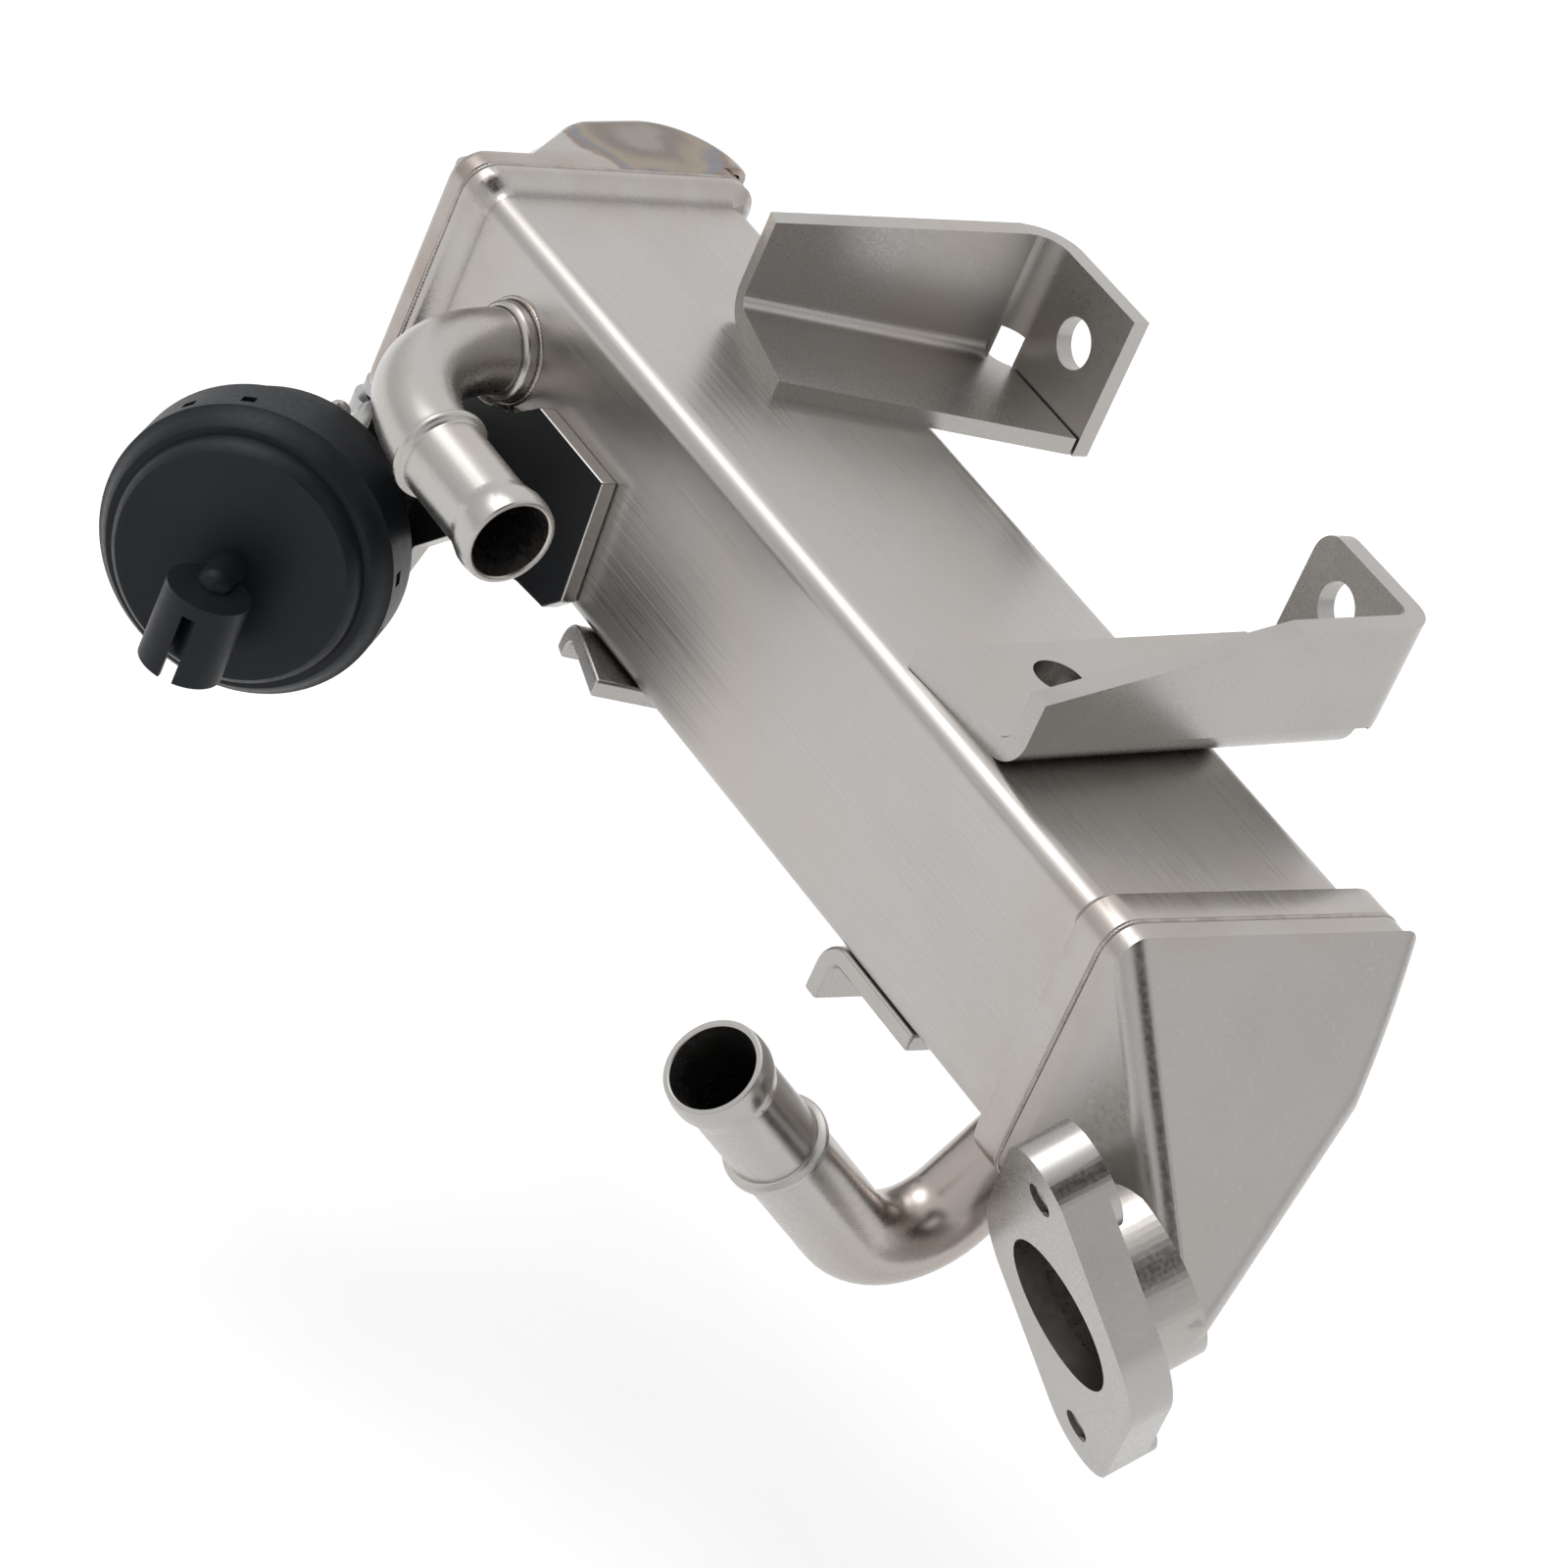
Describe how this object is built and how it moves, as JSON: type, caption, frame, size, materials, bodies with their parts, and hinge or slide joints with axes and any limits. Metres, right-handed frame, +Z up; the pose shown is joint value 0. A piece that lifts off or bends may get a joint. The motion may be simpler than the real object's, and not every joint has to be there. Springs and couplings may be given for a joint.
{
  "type": "exhaust gas recirculation cooler",
  "caption": "Rectangular stainless gas cooler with a wedge inlet tank and tilted oval flange, bent coolant spigots, folded mounting brackets and a vacuum-operated bypass flap.",
  "frame": {"origin": "centre of the inlet flange's bore on its sealing face", "axes": "+X along the core towards the inlet end, +Y across it away from the coolant pipes, +Z up, away from the outlet flange"},
  "size_m": [0.3647, 0.1807, 0.1413],
  "materials": {
    "brushed_tube": "stainless tube, brushed along its length",
    "pressed_tank": "pressed stainless, fine grain with a satin sheen",
    "pressed_cap": "pressed stainless with brown and gold heat tint near the welds",
    "machined_flange": "thick cast or machined stainless, satin faces with fine turning marks",
    "satin_pipe": "drawn stainless pipe, satin",
    "bracket_steel": "folded stainless sheet, smooth faces and grainy sheared edges",
    "inner_steel": "plain stainless inside the gas and coolant spaces",
    "zinc_steel": "plated steel hardware",
    "black_coat": "matte blue-black coating with a faint orange peel",
    "black_rubber": "moulded rubber"
  },
  "bodies": {
    "cooler": {"shell_tube": "brushed_tube", "inlet_tank": "pressed_tank", "inlet_flange": "machined_flange", "outlet_tank": "pressed_cap", "outlet_flange": "machined_flange", "header_plate_inlet": "inner_steel", "header_plate_outlet": "inner_steel", "gas_tubes": "inner_steel", "bypass_tube": "inner_steel", "support_baffle": "inner_steel", "upper_coolant_pipe": "satin_pipe", "upper_collar": "satin_pipe", "lower_coolant_pipe": "satin_pipe", "actuator_can": "black_coat", "actuator_cover": "black_coat", "diaphragm": "black_rubber", "actuator_studs": "zinc_steel", "stud_nuts": "zinc_steel", "shaft_bush": "inner_steel", "actuator_bracket": "bracket_steel", "bracket_a": "bracket_steel", "bracket_b": "bracket_steel", "bracket_c": "bracket_steel", "bracket_d": "bracket_steel"},
    "rod": {"piston_plate": "zinc_steel", "actuator_rod": "zinc_steel", "rod_eye": "zinc_steel"},
    "flap": {"bypass_flap": "inner_steel", "flap_shaft": "inner_steel", "flap_lever": "zinc_steel", "retaining_clip": "zinc_steel"}
  },
  "joints": [
    {"name": "flap_hinge", "type": "hinge", "parent": "cooler", "child": "flap", "pos_m": [-0.30333, 0.03622, 0.02295], "axis": [0, 0, 1], "range_deg": [0, 36]},
    {"name": "rod_slide", "type": "slide", "parent": "cooler", "child": "rod", "axis": [0.6561, -0.7547, 0], "range_m": [0, 0.00866]}
  ],
  "couplings": [
    {"joint": "rod_slide", "follows": "flap_hinge", "m_per_rad": 0.013771}
  ]
}
